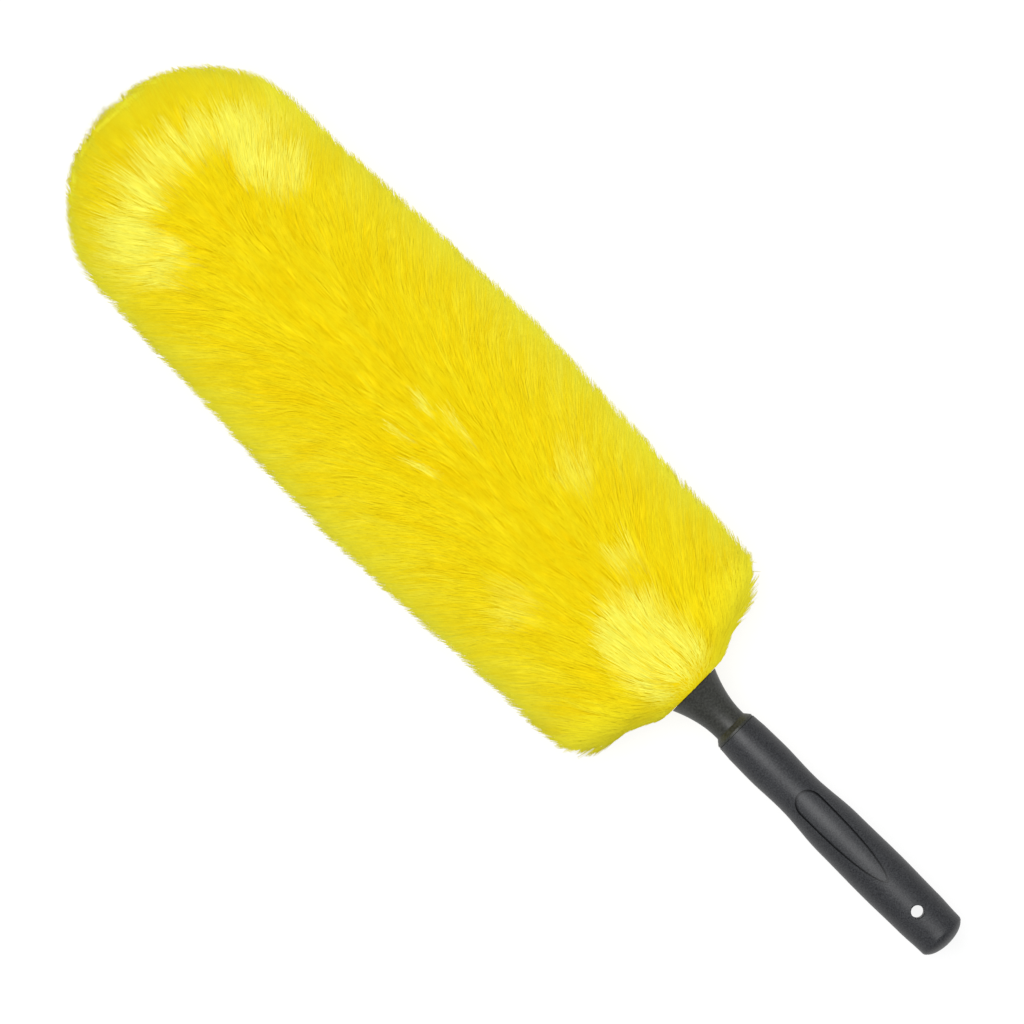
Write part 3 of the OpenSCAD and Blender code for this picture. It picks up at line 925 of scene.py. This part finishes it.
class DUSTER_OT_pocket(bpy.types.Operator):
    """Sew the pocket that holds the wire loop, and the tape round its edge."""
    bl_idname = "duster.pocket"
    bl_label = "Pocket and tape"

    POCKET_SIDES, POCKET_STEPS, EDGE_STEPS, TAPE_SIDES = 72, 80, 90, 16
    TAPE_FROM, TAPE_BEYOND, TAPE_HALF_W, TAPE_HALF_H = 7 * MM, 3.4 * MM, 2.7 * MM, 0.9 * MM
    SEAM_BEYOND, SEAM_HEIGHT = 2.2 * MM, 0.95 * MM
    STITCH = {"Pitch": 3.4 * MM, "Length": 2.4 * MM, "Thread": 0.22 * MM}

    def execute(self, context):
        sizes = context.scene.duster_sleeve
        colour = opaque(sizes.cloth_colour)
        cloth = woven("backing_cloth", colour, opaque((0.66, 0.46, 0.004)), 0.7 * MM)
        tape = woven("binding_tape", colour, opaque((0.70, 0.52, 0.006)), 1.0 * MM)
        thread = plastic("sewing_thread", opaque((0.80, 0.62, 0.01)), opaque((0.95, 0.85, 0.05)), 0.6)
        wall = sizes.cloth_wall
        rings = self.pocket_rings(0.0) + self.pocket_rings(-wall)[::-1]
        on_sleeve(new_piece("pocket_lining", lambda bm: loft(bm, rings, along=True), cloth),
                  "backing_cloth", "sleeve_lining")

        edge = self.edge_path(self.TAPE_BEYOND)
        sections = [self.tape_section(edge, i) for i in range(len(edge))]

        def build(bm):
            rows = loft(bm, sections)
            bm.faces.new(rows[0])
            bm.faces.new(rows[-1])

        on_sleeve(new_piece("binding_tape", build, tape), "binding_tape", "side_binding")
        line = new_piece("stitch_line", self.seam)
        stitches = grown(line, stitch_tree(thread), "tape_stitches", **self.STITCH)
        bpy.data.objects.remove(line)
        on_sleeve(stitches, "binding_tape")
        return {"FINISHED"}

    def pocket_rings(self, extra):
        """Rows of points along the pocket, on its outside or, where extra is negative, inside its wall."""
        ends = LINING_LOW.y, LINING_HIGH.y + extra
        return [pocket_ring(y, extra, self.POCKET_SIDES)[:-1] for y in stations(*ends, self.POCKET_STEPS)]

    def edge_path(self, beyond):
        """Points along the pocket's edge, beyond it by so much, from one side of the mouth to the other."""
        low, high = LINING_LOW.y + self.TAPE_FROM, LINING_HIGH.y + beyond
        right = [Vector((pocket_ring(y, beyond, 1)[0][0], y)) for y in stations(low, high, self.EDGE_STEPS)]
        right[-1].x = 0.0
        return right + [Vector((-p.x, p.y)) for p in reversed(right[:-1])]

    def tape_section(self, edge, i):
        """A rounded section of the tape across its edge line."""
        ahead = (edge[min(i + 1, len(edge) - 1)] - edge[max(i - 1, 0)]).normalized()
        out = Vector((ahead.y, -ahead.x))
        ring = []
        for c, s in directions(self.TAPE_SIDES)[:-1]:
            across = edge[i] + out * self.TAPE_HALF_W * squared(c, 0.5)
            ring.append((across.x, across.y, self.TAPE_HALF_H * squared(s, 0.5)))
        return ring

    def seam(self, bm):
        """Edges along the tape, on both of its faces."""
        edge = self.edge_path(self.SEAM_BEYOND)
        for z in (self.SEAM_HEIGHT, -self.SEAM_HEIGHT):
            verts = [bm.verts.new((p.x, p.y, z)) for p in edge]
            for a, b in zip(verts, verts[1:]):
                bm.edges.new((a, b))


class DUSTER_OT_hem(bpy.types.Operator):
    """Gather the hem on its elastic, and stitch it."""
    bl_idname = "duster.hem"
    bl_label = "Gathered hem"

    # the hem's section in millimetres: distance from the mouth, radius, and how far its pleats stand out
    SECTION = (
        (0.3, 13.4, 0.1), (0.0, 14.2, 0.2), (0.0, 15.4, 0.3), (0.4, 16.1, 0.4), (1.6, 16.5, 0.4),
        (5.0, 16.6, 0.4), (9.0, 16.6, 0.4), (12.9, 16.6, 0.3), (13.2, 16.2, 0.1), (13.0, 15.5, 0.0),
        (8.6, 15.5, 0.0), (6.6, 15.5, 0.0), (5.9, 14.6, 0.0), (5.6, 13.1, 0.0), (3.0, 12.95, 0.05),
        (1.0, 12.95, 0.05))
    # the rings where it is sewn: distance from the mouth, and radius
    SEAMS = ((0.9, 16.45), (5.4, 12.97))
    STEPS_IN_PLEAT, SEAM_STEPS, CORD_STEPS, CORD_SIDES = 8, 120, 96, 12
    # pleats bunch and spread round the hem by so many radians, so many times
    BUNCHING, BUNCHES = 0.6, 3
    CORD_SHARE = 0.94
    STITCH = {"Pitch": 3.1 * MM, "Length": 2.2 * MM, "Thread": 0.2 * MM}

    def execute(self, context):
        sizes = context.scene.duster_sleeve
        cloth = woven("hem_cloth", opaque(sizes.cloth_colour), opaque((0.68, 0.46, 0.005)), 0.6 * MM)
        thread = plastic("hem_thread", opaque((0.82, 0.64, 0.01)), opaque((0.95, 0.85, 0.05)), 0.6)
        steps = sizes.pleats * self.STEPS_IN_PLEAT

        def build(bm):
            rings = []
            for i in range(steps):
                turn = math.tau * i / steps
                pleat = math.cos(sizes.pleats * turn + self.BUNCHING * math.sin(self.BUNCHES * turn))
                rings.append([self.around((r + out * pleat) * MM, MOUTH_Y + y * MM, turn)
                              for y, r, out in self.SECTION])
            loft(bm, rings, along=True)

        on_sleeve(new_piece("gathered_hem", build, cloth), "backing_cloth", "hem_band")

        elastic = new_piece("hem_elastic_cord", self.cord,
                            rubbery("elastic_cover", opaque(sizes.elastic_colour)))
        on_sleeve(elastic, "elastic", "hem_elastic")
        line = new_piece("stitch_line", self.seam)
        stitches = grown(line, stitch_tree(thread), "hem_stitches", **self.STITCH)
        bpy.data.objects.remove(line)
        on_sleeve(stitches, "backing_cloth")
        return {"FINISHED"}

    @staticmethod
    def around(radius, y, turn):
        return (radius * math.cos(turn), y, radius * math.sin(turn))

    def cord(self, bm):
        """The elastic inside the hem, as a closed ring."""
        middle_y = (ELASTIC_LOW.y + ELASTIC_HIGH.y) / 2
        thread_r = (ELASTIC_HIGH.y - ELASTIC_LOW.y) / 2
        ring_r = ELASTIC_HIGH.x - thread_r
        section = [(ring_r + thread_r * self.CORD_SHARE * c, middle_y + thread_r * self.CORD_SHARE * s)
                   for c, s in directions(self.CORD_SIDES)[:-1]]
        loft(bm, [[self.around(radius, y, math.tau * i / self.CORD_STEPS) for radius, y in section]
                  for i in range(self.CORD_STEPS)], along=True)

    def seam(self, bm):
        """Edges in rings where the hem is sewn."""
        for y, radius in self.SEAMS:
            verts = [bm.verts.new(self.around(radius * MM, MOUTH_Y + y * MM, math.tau * i / self.SEAM_STEPS))
                     for i in range(self.SEAM_STEPS)]
            for a, b in zip(verts, verts[1:] + verts[:1]):
                bm.edges.new((a, b))


class DUSTER_OT_pile(bpy.types.Operator):
    """Grow the pile on both panels of the sleeve."""
    bl_idname = "duster.pile"
    bl_label = "Pile"

    CAVITY, TUFT_DENSITY, GATHER, POINTS, FACING = 7.2 * MM, 24000.0, 0.25, 3, 0.85
    SEED_STEP = 10

    def execute(self, context):
        sizes = context.scene.duster_pile
        base, fibre = pile_base(sizes), pile_fibre(sizes)
        guide = pile_guide(sizes.inset)
        tree = pile_tree(fibre)
        for panel, side, seed in (("front", 1, 100), ("back", -1, 200)):
            core = panel_pile(f"pile_{panel}_base", side, sizes.inset, self.CAVITY, base)
            on_sleeve(core, "yellow_pile", f"pile_{panel}")
            for bunch in range(sizes.bunches):
                piece = grown(guide, tree, f"pile_{panel}_fibres_{bunch + 1}", Density=sizes.density,
                              Panel=float(side > 0), Tuft_density=self.TUFT_DENSITY, Rise=sizes.rise,
                              Sweep=sizes.sweep, Radius=sizes.radius, Gather=self.GATHER,
                              Points=self.POINTS, Seed=seed + self.SEED_STEP * bunch)
                face_with_pile(piece.data, self.FACING)
                on_sleeve(piece, "yellow_pile")
        bpy.data.objects.remove(guide)
        return {"FINISHED"}


class DUSTER_PT_panel(bpy.types.Panel):
    """Lists the duster's pieces."""
    bl_idname = "DUSTER_PT_panel"
    bl_label = "Duster"
    bl_space_type = "VIEW_3D"
    bl_region_type = "UI"
    bl_category = "Duster"

    def draw(self, context):
        for operator in OPERATORS:
            self.layout.operator(operator.bl_idname)


GROUPS = {"duster_pile": DusterPile, "duster_sleeve": DusterSleeve, "duster_handle": DusterHandle,
          "duster_stage": DusterStage}
OPERATORS = (DUSTER_OT_stage, DUSTER_OT_handle, DUSTER_OT_loop, DUSTER_OT_pocket, DUSTER_OT_hem,
             DUSTER_OT_pile)
CLASSES = (*GROUPS.values(), *OPERATORS, DUSTER_PT_panel)


def register():
    for cls in CLASSES:
        bpy.utils.register_class(cls)
    for name, group in GROUPS.items():
        setattr(bpy.types.Scene, name, PointerProperty(type=group))


def unregister():
    for name in GROUPS:
        delattr(bpy.types.Scene, name)
    for cls in reversed(CLASSES):
        bpy.utils.unregister_class(cls)


def main():
    register()
    for operator in OPERATORS:
        section, name = operator.bl_idname.split(".")
        getattr(getattr(bpy.ops, section), name)()


if __name__ == "__main__":
    main()
